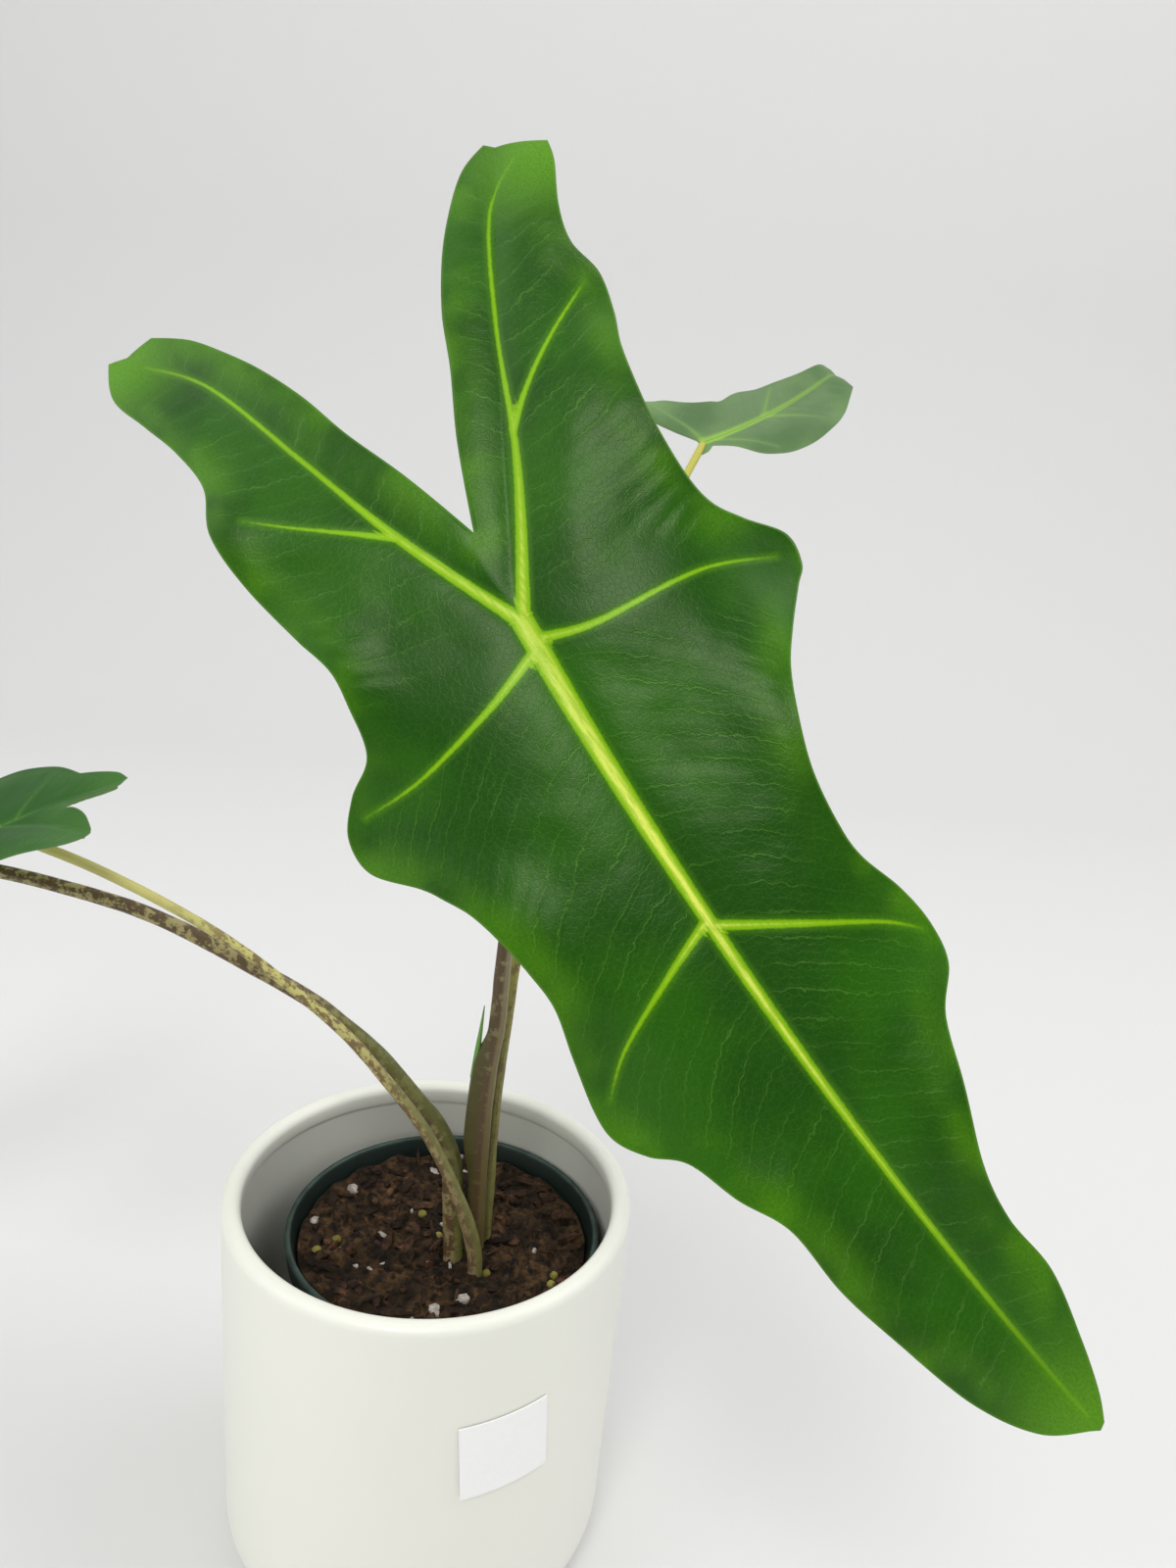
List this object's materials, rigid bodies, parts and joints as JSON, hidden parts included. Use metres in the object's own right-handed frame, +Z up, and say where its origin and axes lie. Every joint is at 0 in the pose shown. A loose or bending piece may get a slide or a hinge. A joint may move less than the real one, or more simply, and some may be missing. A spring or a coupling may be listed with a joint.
{
  "type": "potted sarian alocasia",
  "caption": "Aroid house plant with arrow-shaped leaves, waved margins and pale veins on spotted stalks, in a green growing pot inside a plain white cylindrical cover pot.",
  "frame": {"origin": "centre of the cover pot's flat foot, on the surface that the pot stands on", "axes": "+Z up out of the pot; the largest leaf leans out over -Y and its tip points down towards +X; the two leaves on long arching stalks reach out over -X"},
  "size_m": [0.4412, 0.2962, 0.4195],
  "materials": {
    "white_ceramic": "satin",
    "green_plastic": "satin",
    "white_paper": "matte",
    "potting_soil": "matte",
    "tuber_skin": "matte",
    "leaf_green": "satin",
    "spotted_stalk": "satin",
    "pale_stalk": "satin",
    "young_green": "satin"
  },
  "bodies": {
    "root": {"cover_pot": "white_ceramic", "growing_pot": "green_plastic", "label": "white_paper", "soil": "potting_soil", "tuber": "tuber_skin", "leaf_front": "leaf_green", "leaf_far_left": "leaf_green", "leaf_left": "leaf_green", "leaf_back": "leaf_green", "stalk_front": "spotted_stalk", "stalk_far_left": "spotted_stalk", "stalk_left": "pale_stalk", "stalk_back": "pale_stalk", "new_leaf_spear": "young_green"}
  },
  "joints": []
}
